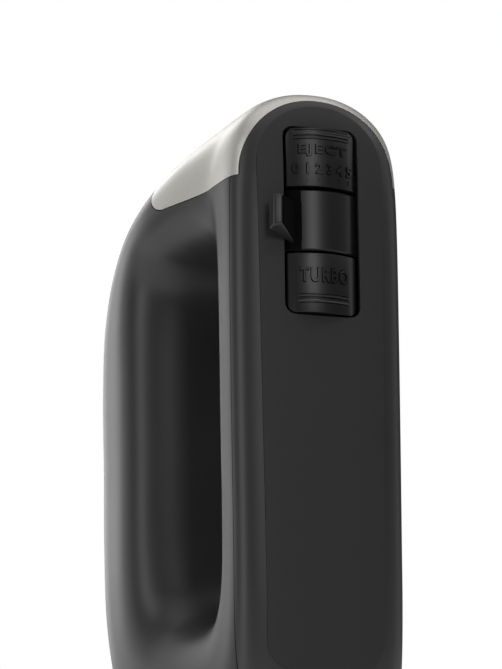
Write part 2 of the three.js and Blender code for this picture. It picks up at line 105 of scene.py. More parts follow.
# Stations round the finger opening, from the belly over the nose to the grip and the heel: outer y and z,
# inner y and z, half width, outer and inner squareness.
STATIONS = (
    (121, 100, 67, 100, 39, 2.8, 4.6),
    (121.5, 124, 67.5, 122, 39.2, 2.8, 4.6),
    (119, 146, 67.5, 140, 39.3, 2.7, 4.2),
    (110, 164, 65.5, 151, 39, 2.6, 3.6),
    (92, 178.5, 60, 156.5, 38.7, 2.55, 3),
    (70, 188, 53, 158, 37.4, 2.5, 2.7),
    (48, 194.8, 46, 158, 34.2, 2.4, 2.6),
    (28, 199, 39, 156.5, 30.6, 2.15, 2.5),
    (14, 200.8, 34.5, 153.5, 28.2, 2.1, 2.6),
    (5.5, 199, 32, 151, 27.6, 2.3, 2.6),
    (1.2, 190.5, 30.5, 148, 27.2, 3.1, 2.7),
    (0.1, 176, 29, 143.5, 27, 4, 2.8),
    (0, 158, 28, 136, 26.9, 4.5, 2.8),
    (0, 134, 27.5, 121, 26.8, 4.6, 2.8),
    (0, 98, 27.5, 98, 26.6, 4.6, 2.8),
    (0, 62, 27.5, 76, 26.3, 4.6, 2.8),
    (0.3, 38, 28, 60, 26.4, 4.2, 2.8),
    (2.5, 17, 31, 52, 27, 3.6, 2.8),
    (10, -1, 36, 47.5, 28.6, 3, 2.8),
    (30, -9, 43, 46, 31, 2.8, 2.8),
    (58, -6, 51, 46.5, 33.6, 2.7, 2.8),
    (86, 2, 59, 49.5, 36, 2.7, 3),
    (106, 17, 64.5, 56, 37.6, 2.7, 3.6),
    (117.5, 43, 66.5, 67, 38.5, 2.8, 4.2),
    (120.5, 72, 67, 83, 38.9, 2.8, 4.6),
)

# The standing mixer: leaned back, lifted on its pads, centred, and in metres.
PLACE = (
    Matrix.Translation((0, -FRAME_Y / 1000, (HEEL_FRONT * math.sin(LEAN) + math.cos(LEAN)) / 1000))
    @ Matrix.Rotation(-LEAN, 4, "X")
    @ Matrix.Scale(0.001, 4)
)


# ---- mesh helpers -------------------------------------------------------------------------------------------
def new_piece(name, bm, finish, body, replaces=(), smooth_angle=35.0):
    """Turns a bmesh in the mixer's own millimetres into a placed piece that rides on a body."""
    bm.transform(PLACE)
    mesh = bpy.data.meshes.new(name)
    bm.to_mesh(mesh)
    bm.free()
    piece = bpy.data.objects.new(name, mesh)
    bpy.context.scene.collection.objects.link(piece)
    mesh.shade_smooth()
    mesh.set_sharp_from_angle(angle=math.radians(smooth_angle))
    mesh.materials.append(finish)
    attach(piece, body)
    if replaces:
        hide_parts(*replaces)
    return piece


def add_wall(piece, thickness, edge, segments=2):
    """Gives a skin its wall, and its edges a small round."""
    wall = piece.modifiers.new("wall", "SOLIDIFY")
    wall.thickness = thickness / 1000
    wall.offset = -1
    wall.use_even_offset = True
    round_edges(piece, edge, segments)


def round_edges(piece, edge, segments=2, angle=50.0):
    """Rounds a piece's sharp edges."""
    bevel = piece.modifiers.new("round", "BEVEL")
    bevel.width = edge / 1000
    bevel.segments = segments
    bevel.limit_method = "ANGLE"
    bevel.angle_limit = math.radians(angle)
    bevel.harden_normals = True


def outward(bm):
    """Merges doubles and turns every face outwards."""
    bmesh.ops.remove_doubles(bm, verts=bm.verts, dist=1e-4)
    bmesh.ops.recalc_face_normals(bm, faces=bm.faces)
    return bm


def turned(profile, steps=48, axis="y", at=(0, 0, 0)):
    """A closed or axis-to-axis profile of (radius, height) points, spun about an axis through a point."""
    bm = bmesh.new()
    points = [bm.verts.new((r, 0, h)) for r, h in profile]
    closed = profile[0][0] > 0
    edges = [bm.edges.new(pair) for pair in zip(points, points[1:] + points[:1])][: None if closed else -1]
    bmesh.ops.spin(bm, geom=points + edges, axis=(0, 0, 1), cent=(0, 0, 0), angle=math.tau, steps=steps,
                   use_merge=True)
    outward(bm)
    if axis == "y":
        bm.transform(Matrix(((1, 0, 0, 0), (0, 0, 1, 0), (0, -1, 0, 0), (0, 0, 0, 1))))
    if axis == "x":
        bm.transform(Matrix(((0, 0, 1, 0), (1, 0, 0, 0), (0, 1, 0, 0), (0, 0, 0, 1))))
    bm.transform(Matrix.Translation(at))
    bmesh.ops.recalc_face_normals(bm, faces=bm.faces)
    return bm


def block(low, high):
    """A box between two corners."""
    bm = bmesh.new()
    bmesh.ops.create_cube(bm, size=1)
    size = [b - a for a, b in zip(low, high)]
    middle = [(a + b) / 2 for a, b in zip(low, high)]
    bm.transform(Matrix.Translation(middle) @ Matrix.Diagonal((*size, 1)))
    return bm


def join(parts):
    """One bmesh that holds several."""
    whole = parts[0]
    for part in parts[1:]:
        mesh = bpy.data.meshes.new("joined")
        part.to_mesh(mesh)
        part.free()
        whole.from_mesh(mesh)
        bpy.data.meshes.remove(mesh)
    return whole


# ---- the handle loop ----------------------------------------------------------------------------------------
def station(turn):
    """The section of the loop at a share of its way round."""
    n = len(STATIONS)
    t = (turn % 1.0) * n
    k = int(t)
    f = t - k
    a, b, c, d = (STATIONS[(k + i) % n] for i in (-1, 0, 1, 2))
    return [
        0.5 * (2 * q + (r - p) * f + (2 * p - 5 * q + 4 * r - s) * f * f + (3 * q - p - 3 * r + s) * f ** 3)
        for p, q, r, s in zip(a, b, c, d)
    ]


def skin_point(place, inset=0.0):
    """The point of the mixer's skin that belongs to a point of the plain ring."""
    turn = math.atan2(place.y, place.x) / math.tau
    oy, oz, iy, iz, half, outer_power, inner_power = station(turn)
    out = math.hypot(place.x, place.y) - 2
    side = place.z
    length = math.hypot(out, side)
    c, s = out / length, side / length
    p = outer_power if c > 0 else inner_power
    radius = (abs(c) ** p + abs(s) ** p) ** (-1 / p)
    span = math.hypot(oy - iy, oz - iz)
    reach = 0.5 + (0.5 - inset / span) * radius * c
    return Vector(((half - inset) * radius * s, iy + (oy - iy) * reach, iz + (oz - iz) * reach))


def plain_ring(around, across):
    """A ring of quads, bent into the mixer's loop later."""
    bm = bmesh.new()
    bmesh.ops.create_circle(bm, segments=across, radius=1)
    bm.transform(Matrix.Translation((2, 0, 0)) @ Matrix.Rotation(math.pi / 2, 4, "X"))
    bmesh.ops.spin(bm, geom=bm.verts[:] + bm.edges[:], axis=(0, 0, 1), cent=(0, 0, 0), angle=math.tau,
                   steps=around, use_merge=True)
    bmesh.ops.recalc_face_normals(bm, faces=bm.faces)
    return bm


def cut_along(bm, field, kept):
    """Splits the ring's faces along the line where a field of the finished skin is zero.

    Points of earlier lines are in kept, and stay where they are.
    """
    value = {v: field(skin_point(v.co)) for v in bm.verts}

    def root(a, b):
        low, high, start = 0.0, 1.0, value[a]
        for _ in range(14):
            middle = (low + high) / 2
            if field(skin_point(a.co.lerp(b.co, middle))) * start > 0:
                low = middle
            else:
                high = middle
        return (low + high) / 2

    crossing = [e for e in bm.edges if value[e.verts[0]] * value[e.verts[1]] < 0]
    moved = {}
    for edge in crossing:
        a, b = edge.verts
        t = root(a, b)
        if t < 0.2 and a not in moved and a not in kept:
            moved[a] = a.co.lerp(b.co, t)
        elif t > 0.8 and b not in moved and b not in kept:
            moved[b] = a.co.lerp(b.co, t)
    for v, co in moved.items():
        v.co = co
        value[v] = 0.0
    on_line = list(moved)
    for edge in crossing:
        a, b = edge.verts
        if value[a] * value[b] < 0:
            on_line.append(bmesh.utils.edge_split(edge, a, root(a, b))[1])
    if on_line:
        kept.update(on_line)
        bmesh.ops.connect_verts(bm, verts=on_line)


def rounded_box(dx, dy, half_x, half_y, corner):
    """Signed distance outside a rounded rectangle."""
    qx = abs(dx) - half_x + corner
    qy = abs(dy) - half_y + corner
    return math.hypot(max(qx, 0), max(qy, 0)) + min(max(qx, qy), 0) - corner


def above_heel(p):
    return p.z - (p.y - HEEL_FRONT) * math.tan(LEAN)


def in_cover(p):
    return SEAM_Y - p.y


def in_arch(p):
    if p.y > 26 or p.z < 150:
        return FAR_OUTSIDE
    return ARCH_RADIUS - math.hypot(p.x, max(p.z - ARCH_Z, 0))


def in_trim(p):
    above = p.z - TRIM_Z - TRIM_RISE * (p.y + 30) / (TRIM_Y + 21)
    inside = TRIM_Y - p.y
    if above < TRIM_CORNER and inside < TRIM_CORNER:
        return TRIM_CORNER - math.hypot(TRIM_CORNER - above, TRIM_CORNER - inside)
    return min(above, inside)


def in_panel(p):
    if p.y > 20:
        return FAR_OUTSIDE
    share = min(max((p.z - PANEL_REAR - PANEL_CORNER) / (PANEL_Z - PANEL_REAR - PANEL_CORNER), 0), 1)
    half = PANEL_REAR_HALF + (PANEL_RADIUS - PANEL_REAR_HALF) * share
    if p.z > PANEL_Z:
        return PANEL_RADIUS - math.hypot(p.x, p.z - PANEL_Z)
    return -rounded_box(p.x, max(PANEL_REAR + 60 - p.z, 0), half, 60, PANEL_CORNER)


def in_recess(p):
    if p.y > 14:
        return FAR_OUTSIDE
    return -rounded_box(p.x, p.z - (RECESS_LOW + RECESS_HIGH) / 2, RECESS_HALF, (RECESS_HIGH - RECESS_LOW) / 2,
                        RECESS_CORNER)


def in_sockets(p):
    if p.y < BELLY_Y:
        return FAR_OUTSIDE
    return SOCKET_BORE - math.hypot(abs(p.x) - SPINDLE_X, p.z - SPINDLE_Z)


def in_inlet(p):
    if p.y < BELLY_Y:
        return FAR_OUTSIDE
    return INLET_RADIUS - math.hypot(p.x, p.z - INLET_Z)


def vent_rows(p):
    """Zero along the middle of every vent slot and halfway between them."""
    first, last = VENT_LOW, VENT_LOW + (VENT_COUNT - 1) * VENT_PITCH
    if p.y < BELLY_Y or not first - 4 < p.z < last + 4:
        return 1.0
    return math.sin(math.pi * (p.z - VENT_LOW) / VENT_PITCH)


def in_vents(p):
    if p.y < BELLY_Y:
        return FAR_OUTSIDE
    row = min(max(round((p.z - VENT_LOW) / VENT_PITCH), 0), VENT_COUNT - 1)
    return -rounded_box(abs(p.x) - VENT_X, p.z - VENT_LOW - row * VENT_PITCH, VENT_HALF, VENT_HALF_HEIGHT,
                        VENT_CORNER)


def in_screw_pockets(p):
    if p.x < 0:
        return FAR_OUTSIDE
    return max(SCREW_POCKET - math.hypot(p.y - y, p.z - z) for y, z in SCREWS)


CUTS = (
    above_heel,
    lambda p: in_cover(p) - GAP / 2,
    lambda p: in_cover(p) + GAP / 2,
    in_arch,
    lambda p: in_arch(p) - GAP,
    in_trim,
    lambda p: in_trim(p) + GAP,
    in_panel,
    lambda p: in_panel(p) + GAP,
    in_recess,
    in_sockets,
    in_inlet,
    vent_rows,
    in_vents,
    in_screw_pockets,
)


def region(p):
    """Names the piece that a point of the skin belongs to, or nothing in a gap or a hole."""
    if above_heel(p) < 0 or max(in_recess(p), in_sockets(p), in_inlet(p), in_vents(p)) > 0:
        return None
    if in_screw_pockets(p) > 0 or abs(in_panel(p) + GAP / 2) < GAP / 2:
        return None
    if in_panel(p) > 0:
        return "panel"
    cover = in_cover(p)
    if in_trim(p) > 0 and not (in_arch(p) > 0 and cover > -GAP / 2):
        return "trim"
    if in_trim(p) > -GAP and (cover < 0 or in_arch(p) < GAP):
        return None
    if cover > GAP / 2:
        return "cover"
    if cover > -GAP / 2:
        return None
    return "left" if p.x < 0 else "right"


# ---- finishes -----------------------------------------------------------------------------------------------
class Value:
    """A shader value that builds Math nodes when it is used in an expression."""

    def __init__(self, maker, socket):
        self.maker = maker
        self.socket = socket

    def _math(self, operation, first, second):
        return self.maker.node("ShaderNodeMath", {"operation": operation}, {0: first, 1: second})

    def __add__(self, other):
        return self._math("ADD", self, other)

    __radd__ = __add__

    def __mul__(self, other):
        return self._math("MULTIPLY", self, other)

    def __sub__(self, other):
        return self._math("SUBTRACT", self, other)


class Finish:
    """A material under construction."""

    def __init__(self, name):
        self.material = bpy.data.materials.new(name)
        self.material.use_nodes = True
        self.tree = self.material.node_tree
        self.shader = self.tree.nodes["Principled BSDF"]
        self.place = self.node("ShaderNodeTexCoord", {}, {}, "Object")

    def node(self, kind, settings, inputs, output=0):
        made = self.tree.nodes.new(kind)
        for key, value in settings.items():
            setattr(made, key, value)
        for key, value in inputs.items():
            if isinstance(value, Value):
                self.tree.links.new(value.socket, made.inputs[key])
            else:
                made.inputs[key].default_value = value
        return Value(self, made.outputs[output])

    def noise(self, scale, detail=2.0, roughness=0.5):
        return self.node("ShaderNodeTexNoise", {}, {"Vector": self.place, "Scale": scale, "Detail": detail,
                                                    "Roughness": roughness})

    def cells(self, scale):
        return self.node("ShaderNodeTexVoronoi", {}, {"Vector": self.place, "Scale": scale}, "Distance")

    def mix(self, factor, first, second):
        made = self.tree.nodes.new("ShaderNodeMix")
        made.data_type = "RGBA"
        for socket, value in ((made.inputs[0], factor), (made.inputs[6], first), (made.inputs[7], second)):
            if isinstance(value, Value):
                self.tree.links.new(value.socket, socket)
            else:
                socket.default_value = value
        return Value(self, made.outputs[2])

    def bump(self, height, strength, distance):
        return self.node("ShaderNodeBump", {}, {"Height": height, "Strength": strength, "Distance": distance})

    def set(self, **sockets):
        for key, value in sockets.items():
            socket = self.shader.inputs[key.replace("_", " ")]
            if isinstance(value, Value):
                self.tree.links.new(value.socket, socket)
            else:
                socket.default_value = value
        return self.material


def rgba(colour, factor=1.0):
    return (*(channel * factor for channel in colour), 1.0)


def moulded_plastic(name, colour, roughness, grain, grain_size, depth, shine=0.5):
    """Satin moulded plastic: a fine spark-eroded grain, a faint mottle and slight handling sheen."""
    f = Finish(name)
    mottle = f.noise(38.0, 3.0)
    handling = f.noise(9.0, 4.0, 0.6)
    fine = f.noise(grain_size, 2.0, 0.6)
    colour_now = f.mix(mottle, rgba(colour, 0.9), rgba(colour, 1.12))
    rough_now = roughness - 0.05 + handling * 0.1 + fine * 0.04
    return f.set(Base_Color=colour_now, Roughness=rough_now, Specular_IOR_Level=shine,
                 Normal=f.bump(fine, grain, depth))


def satin_paint(name, colour):
    """Silver paint with fine metal flake under a thin clear layer."""
    f = Finish(name)
    flake = f.cells(5200.0)
    cloud = f.noise(26.0, 3.0)
    colour_now = f.mix(flake * 0.6 + cloud * 0.3, rgba(colour, 1.05), rgba(colour, 0.84))
    rough_now = 0.36 + cloud * 0.07 + flake * 0.05
    return f.set(Base_Color=colour_now, Metallic=0.6, Roughness=rough_now,
                 Normal=f.bump(flake, 0.06, 0.00004))


def machined_metal(name, colour, roughness, stretch):
    """Turned or ground metal with fine lines across it."""
    f = Finish(name)
    lines = f.node("ShaderNodeMapping", {}, {"Vector": f.place, "Scale": stretch})
    streak = f.node("ShaderNodeTexNoise", {}, {"Vector": lines, "Scale": 900.0, "Detail": 3.0})
    stain = f.noise(60.0, 3.0)
    return f.set(Base_Color=f.mix(stain, rgba(colour, 0.85), rgba(colour, 1.1)), Metallic=1.0,
                 Roughness=roughness + streak * 0.15 - 0.07, Normal=f.bump(streak, 0.12, 0.00005))


def soft_rubber(name, colour):
    """Matt rubber with a faint bloom."""
    f = Finish(name)
    bloom = f.noise(55.0, 4.0)
    fine = f.noise(2600.0)
    return f.set(Base_Color=f.mix(bloom, rgba(colour, 0.8), rgba(colour, 1.4)), Roughness=0.78 + bloom * 0.14,
                 Normal=f.bump(fine, 0.25, 0.00008))


def wound_copper(name, colour):
    """Enamelled wire laid side by side."""
    f = Finish(name)
    wires = f.node("ShaderNodeTexWave", {"wave_type": "BANDS", "bands_direction": "Z"},
                   {"Vector": f.place, "Scale": 700.0, "Distortion": 1.2, "Detail": 1.0}, "Fac")
    return f.set(Base_Color=f.mix(wires, rgba(colour, 0.45), rgba(colour, 1.2)), Metallic=0.8,
                 Roughness=0.3 + wires * 0.12, Normal=f.bump(wires, 0.5, 0.0002))


FINISHES = {}
NODE_FINISH = {
    "eject_fork": "nylon", "speed_switch": "nylon", "cooling_fan": "nylon", "brush_holder_left": "nylon",
    "brush_holder_right": "nylon", "worm_wheel_left": "nylon", "worm_wheel_right": "nylon",
    "motor_shaft": "steel", "rear_bearing": "steel", "front_bearing": "steel", "gear_frame": "steel",
    "eject_spring": "steel", "turbo_spring": "steel", "stator_core": "iron", "armature_core": "iron",
    "field_coil_left": "copper", "field_coil_right": "copper", "armature_winding_rear": "copper",
    "armature_winding_front": "copper", "commutator": "copper", "control_board": "board",
    "suppression_capacitor": "carbon", "carbon_brush_left": "carbon", "carbon_brush_right": "carbon",
}


# ---- settings -----------------------------------------------------------------------------------------------
def colour_property(name, description, default):
    return FloatVectorProperty(name=name, description=description, subtype="COLOR", size=3, min=0, max=1,
                               default=default)


class MixerSizes(bpy.types.PropertyGroup):
    """Sizes that shape the visible skins."""

    around: IntProperty(name="Steps around", description="Faces round the handle loop", default=300, min=80)
    across: IntProperty(name="Steps across", description="Faces round one section", default=160, min=48)
    wall: FloatProperty(name="Shell wall", description="Wall of the moulded shells in mm", default=2.2, min=1)
    seam: FloatProperty(name="Seam round", description="Round on the parting edges in mm", default=0.25,
                        min=0.05)
    panel_lift: FloatProperty(name="Panel lift", description="How far the grip panel stands proud in mm",
                              default=0.45, min=0)
    lettering: FloatProperty(name="Letter relief", description="Height of the raised marks in mm", default=0.4)


class MixerColours(bpy.types.PropertyGroup):
    """Colours of the visible finishes."""

    shell: colour_property("Shell", "Satin charcoal of the housings", (0.018, 0.0176, 0.0186))
    panel: colour_property("Panel", "Fine matt grip panel", (0.008, 0.008, 0.0085))
    silver: colour_property("Silver", "Warm satin nose trim", (0.56, 0.55, 0.515))
    control: colour_property("Controls", "Semi-gloss black of the buttons", (0.005, 0.005, 0.0053))


def sizes():
    return bpy.context.scene.mixer_sizes


def colours():
    return bpy.context.scene.mixer_colours


# ---- operators ----------------------------------------------------------------------------------------------
class MixerFinishes(bpy.types.Operator):
    """Makes the finishes and puts them on the inner parts."""

    bl_idname = "mixer.finishes"
    bl_label = "Finishes"

    def execute(self, context):
        tone = colours()
        FINISHES.update({
            "shell": moulded_plastic("satin_charcoal", tone.shell, 0.42, 0.18, 2600.0, 0.00006),
            "panel": moulded_plastic("spark_grain_black", tone.panel, 0.6, 0.5, 1700.0, 0.00012),
            "silver": satin_paint("warm_silver_paint", tone.silver),
            "control": moulded_plastic("semi_gloss_black", tone.control, 0.36, 0.08, 3200.0, 0.00004),
            # Matt black for painted shade: outlines round the marks, strips beside the bars and the patch
            # beside the selector tab.
            "shade_paint": moulded_plastic("matt_black", (0.002, 0.002, 0.002), 0.85, 0.1, 3000.0, 0.00004, 0.05),
            "rubber": soft_rubber("black_rubber", (0.02, 0.02, 0.021)),
            "nylon": moulded_plastic("natural_nylon", (0.72, 0.69, 0.6), 0.45, 0.12, 2400.0, 0.00005),
            "steel": machined_metal("machined_steel", (0.56, 0.57, 0.58), 0.3, (1, 1, 8)),
            "iron": machined_metal("laminated_iron", (0.2, 0.2, 0.21), 0.5, (0.3, 0.3, 12)),
            "copper": wound_copper("enamelled_copper", (0.62, 0.26, 0.12)),
            "board": moulded_plastic("green_board", (0.02, 0.13, 0.06), 0.35, 0.1, 3000.0, 0.00004),
            "carbon": moulded_plastic("pressed_carbon", (0.03, 0.03, 0.03), 0.6, 0.3, 2000.0, 0.00008),
        })
        for node, finish in NODE_FINISH.items():
            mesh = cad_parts[node].data
            mesh.materials.clear()
            mesh.materials.append(FINISHES[finish])
        return {"FINISHED"}


class MixerShells(bpy.types.Operator):
    """Bends the handle loop and parts it into housings, cover, panel and nose trim."""

    bl_idname = "mixer.shells"
    bl_label = "Shells"

    def execute(self, context):
        size = sizes()
        ring = plain_ring(size.around, size.across)
        kept = set()
        for field in CUTS:
            cut_along(ring, field, kept)
        layer = ring.faces.layers.int.new("region")
        order = ("left", "right", "trim", "cover", "panel")
        ring.faces.index_update()
        for face in ring.faces:
            name = region(skin_point(face.calc_center_median()))
            face[layer] = order.index(name) if name else -1
        pieces = {
            "left": ("left_shell", "shell", "left_housing"),
            "right": ("right_shell", "shell", "right_housing"),
            "trim": ("nose_visor", "silver", "nose_trim"),
            "cover": ("cover_shell", "shell", "handle_cover"),
            "panel": ("grip_skin", "panel", "grip_panel"),
        }
        for number, key in enumerate(order):
            name, slot, node = pieces[key]
            part = ring.copy()
            mark = part.faces.layers.int["region"]
            gone = [face for face in part.faces if face[mark] != number]
            bmesh.ops.delete(part, geom=gone, context="FACES")
            lift = -size.panel_lift if key == "panel" else 0.0
            for v in part.verts:
                v.co = skin_point(v.co, lift)
            if key in ("left", "right"):
                self.close_heel(part)
            bmesh.ops.remove_doubles(part, verts=part.verts, dist=0.02)
            piece = new_piece(name, part, FINISHES[slot], "housing", (node,))
            add_wall(piece, 1.6 if key == "panel" else size.wall, size.seam)
        ring.free()
        return {"FINISHED"}

    def close_heel(self, part):
        """Fills the flat heel face of one housing."""
        rim = [e for e in part.edges if e.is_boundary and all(abs(above_heel(v.co)) < 0.05 for v in e.verts)]
        ends = [v for v in {v for e in rim for v in e.verts} if sum(e in rim for e in v.link_edges) == 1]
        if len(ends) == 2:
            rim.append(part.edges.new(ends))
        bmesh.ops.triangle_fill(part, use_beauty=True, edges=rim)
        bmesh.ops.recalc_face_normals(part, faces=part.faces)


def crown_height(x):
    """Height of the crowned control tops across the handle."""
    return CROWN_Y - math.sqrt(CROWN_RADIUS ** 2 - x * x)


def crowned_block(span, half, depth, outer_end, corner=2.5, rim=0.7):
    """A push button: a block with two rounded corners, a crowned top and a rounded rim."""
    bm = block((-half, 0, span[0]), (half, depth, span[1]))
    end = span[1] if outer_end > 0 else span[0]
    upright = [e for e in bm.edges if all(abs(v.co.z - end) < 0.01 for v in e.verts)
               and abs(e.verts[0].co.x - e.verts[1].co.x) < 0.01]
    bmesh.ops.bevel(bm, geom=upright, offset=corner, segments=7, profile=0.5, affect="EDGES", material=-1)
    for i in range(-10, 11):
        bmesh.ops.bisect_plane(bm, geom=bm.verts[:] + bm.edges[:] + bm.faces[:],
                               plane_co=(i * half / 11, 0, 0), plane_no=(1, 0, 0), dist=1e-4)
    for v in bm.verts:
        if v.co.y < 0.1:
            v.co.y = crown_height(v.co.x)
    bm.normal_update()
    rim_edges = [e for e in bm.edges if len(e.link_faces) == 2
                 and min(f.normal.y for f in e.link_faces) < -0.7
                 and max(f.normal.y for f in e.link_faces) > -0.3]
    bmesh.ops.bevel(bm, geom=rim_edges, offset=rim, segments=4, profile=0.5, affect="EDGES", material=-1,
                    clamp_overlap=True)
    return outward(bm)


def swept(profile, centre_y, start, end, steps):
    """A closed profile of (radius, z) points swept about an upright axis between two angles from the front."""
    bm = bmesh.new()
    corners = [bm.verts.new((r * math.sin(start), centre_y - r * math.cos(start), z)) for r, z in profile]
    sides = [bm.edges.new(pair) for pair in zip(corners, corners[1:] + corners[:1])]
    last = bmesh.ops.spin(bm, geom=corners + sides, axis=(0, 0, 1), cent=(0, centre_y, 0), angle=end - start,
                          steps=steps)["geom_last"]
    bm.faces.new(corners)
    bmesh.ops.contextual_create(bm, geom=[e for e in last if isinstance(e, bmesh.types.BMEdge)])
    return outward(bm)


def crown_bar(z, half, height=0.45, width=0.8):
    """A raised bar that follows a crowned top."""
    inner, outer = CROWN_RADIUS - 0.4, CROWN_RADIUS + height
    soft = min(0.3, width / 3)
    profile = [(inner, z - width / 2), (outer - soft, z - width / 2), (outer, z - width / 2 + soft),
               (outer, z + width / 2 - soft), (outer - soft, z + width / 2), (inner, z + width / 2)]
    reach = math.asin(half / CROWN_RADIUS)
    return swept(profile, CROWN_Y, -reach, reach, 24)


def lettering(text, spread, rise):
    """Flat letters with a spread outline and a rise, as a bmesh in x and y."""
    curve = bpy.data.curves.new("marks", "FONT")
    curve.body = text
    curve.size = 5
    curve.space_character = 1.22
    curve.extrude = rise
    curve.offset = spread
    curve.resolution_u = 3
    holder = bpy.data.objects.new("marks", curve)
    bpy.context.scene.collection.objects.link(holder)
    mesh = bpy.data.meshes.new_from_object(holder.evaluated_get(bpy.context.evaluated_depsgraph_get()))
    bpy.data.objects.remove(holder)
    bpy.data.curves.remove(curve)
    bm = bmesh.new()
    bm.from_mesh(mesh)
    bpy.data.meshes.remove(mesh)
    return bm


def marks(text, x, z, width, height):
    """Raised letters of a given width and height on a crowned top, and a black outline of painted shade round
    them.
    """
    letters = lettering(text, 0.05, sizes().lettering)
    low = Vector([min(v.co[i] for v in letters.verts) for i in range(3)])
    high = Vector([max(v.co[i] for v in letters.verts) for i in range(3)])
    tall = height / (high.y - low.y)
    made = []
    # The second copy, spread wide and nearly flat, is the black outline of painted shade round each mark.
    for bm in (letters, lettering(text, 0.26, 0.03)):
        for v in bm.verts:
            across = x + (v.co.x - (low.x + high.x) / 2) * (width / (high.x - low.x) if width else tall)
            up = z + (v.co.y - (low.y + high.y) / 2) * tall
            v.co = Vector((across, crown_height(across) - v.co.z, up))
        made.append(outward(bm))
    return made


class MixerButtons(bpy.types.Operator):
    """Makes the eject and turbo buttons with their bars, marks and numerals."""

    bl_idname = "mixer.buttons"
    bl_label = "Buttons"

    def execute(self, context):
        finish = FINISHES["control"]
        eject = join([crowned_block(EJECT_SPAN, CONTROL_HALF, CONTROL_DEPTH, 1),
                      crown_bar(184.9, 9.0, 0.4, 1.0), crown_bar(183.6, 9.0, 0.3, 0.5)])
        new_piece("eject_cap", eject, finish, "eject", ("eject_button",))
        turbo = join([crowned_block(TURBO_SPAN, CONTROL_HALF, CONTROL_DEPTH, -1),
                      crown_bar(134.6, 8, 0.35, 0.5), crown_bar(133.3, 8, 0.4, 1.0)])
        new_piece("turbo_cap", turbo, finish, "turbo", ("turbo_button",))
        words = [marks("EJECT", 0.2, 179.5, 15.2, 3.7)]
        for i in range(6):
            x = -8.2 + i * 3.4
            words.append(marks(str(i), x, 173.9, 0, 3.2))
            long = 0.9 if i % 2 else 0.5
            tick = block((x - 0.22, -0.25, 170.9 - long), (x + 0.22, 0.3, 171.3))
            for v in tick.verts:
                v.co.y += crown_height(v.co.x)
            words.append((tick,))
        # Flat black strips beside the eject bars are painted shade.
        words += [(None, crown_bar(z, 8.6, 0.04, 0.4)) for z in (186.0, 184.2, 183.1)]
        self.place_marks("eject", words)
        # Flat black strips beside the turbo bars are painted shade.
        lines = [(None, crown_bar(z, 7.6, 0.04, 0.4)) for z in (135.1, 134.1, 132.5)]
        self.place_marks("turbo", [marks("TURBO", 0.2, 141.0, 15.2, 4.3), *lines])
        return {"FINISHED"}

    def place_marks(self, name, words):
        """Puts raised marks on a button, with the black outlines and strips of painted shade beside them."""
        finish = FINISHES["control"]
        new_piece(name + "_marks", join([word[0] for word in words if word[0]]), finish, name)
        # The black outlines and strips are painted shade.
        painted_shade_parts = [word[1] for word in words if len(word) > 1]
        new_piece(name + "_painted_shade", join(painted_shade_parts), FINISHES["shade_paint"], name)


class MixerSelector(bpy.types.Operator):
    """Makes the speed selector: a curved plate with a leaning thumb tab."""

    bl_idname = "mixer.selector"
    bl_label = "Speed selector"

    def execute(self, context):
        low, high = SELECT_SPAN
        profile = [(SELECT_RADIUS - 2.4, low), (SELECT_RADIUS - 0.5, low), (SELECT_RADIUS, low + 0.5),
                   (SELECT_RADIUS, high - 0.5), (SELECT_RADIUS - 0.5, high), (SELECT_RADIUS - 2.4, high)]
        plate = swept(profile, SELECT_Y, math.radians(-84), math.radians(40), 62)
        tab = self.thumb_tab([(-7.4, 1.2), (-9.0, 1.2), (-10.3, 0.1), (-18, -4.2), (-17, -6.3), (-14.6, -6.9)],
                             low, TAB_HIGH)
        bmesh.ops.bevel(tab, geom=tab.edges[:], offset=0.5, segments=4, profile=0.5, affect="EDGES",
                        material=-1, clamp_overlap=True)
        new_piece("selector_plate", join([plate, outward(tab)]), FINISHES["control"], "selector",
                  ("speed_selector",))
        # A matt black patch and filler stand in for the shade beside the tab at rest, and turn with the plate.
        shade = [(SELECT_RADIUS - 0.1, low + 0.1), (SELECT_RADIUS + 0.04, low + 0.1),
                 (SELECT_RADIUS + 0.04, high - 0.3), (SELECT_RADIUS - 0.1, high - 0.3)]
        patch = swept(shade, SELECT_Y, math.radians(-60), math.radians(-20.5), 24)
        shade_filler = self.thumb_tab([(-14.3, -6.7), (-8.3, -0.2), (-7.0, -0.6), (-6.6, -1.15), (-7.9, -0.95),
                                 (-8.6, -0.75), (-14.2, -6.9)], low, TAB_HIGH - 0.5)
        new_piece("selector_painted_shade", join([shade_filler, patch]), FINISHES["shade_paint"], "selector")
        return {"FINISHED"}

    def thumb_tab(self, outline, low, high):
        """An upright prism over an outline, sloped off underneath."""
        tab = bmesh.new()
        base = tab.faces.new([tab.verts.new((x, y, low + 0.4)) for x, y in outline])
        grown = bmesh.ops.extrude_face_region(tab, geom=[base])["geom"]
        bmesh.ops.translate(tab, verts=[v for v in grown if isinstance(v, bmesh.types.BMVert)],
                            vec=(0, 0, high - low - 0.4))
        slope = bmesh.ops.bisect_plane(tab, geom=tab.verts[:] + tab.edges[:] + tab.faces[:],
                                       plane_co=(0, -6.4, 154.4), plane_no=(0, -5.0, -9.4), clear_outer=True)
        rim = [e for e in slope["geom_cut"] if isinstance(e, bmesh.types.BMEdge)]
        bmesh.ops.contextual_create(tab, geom=rim)
        return outward(tab)


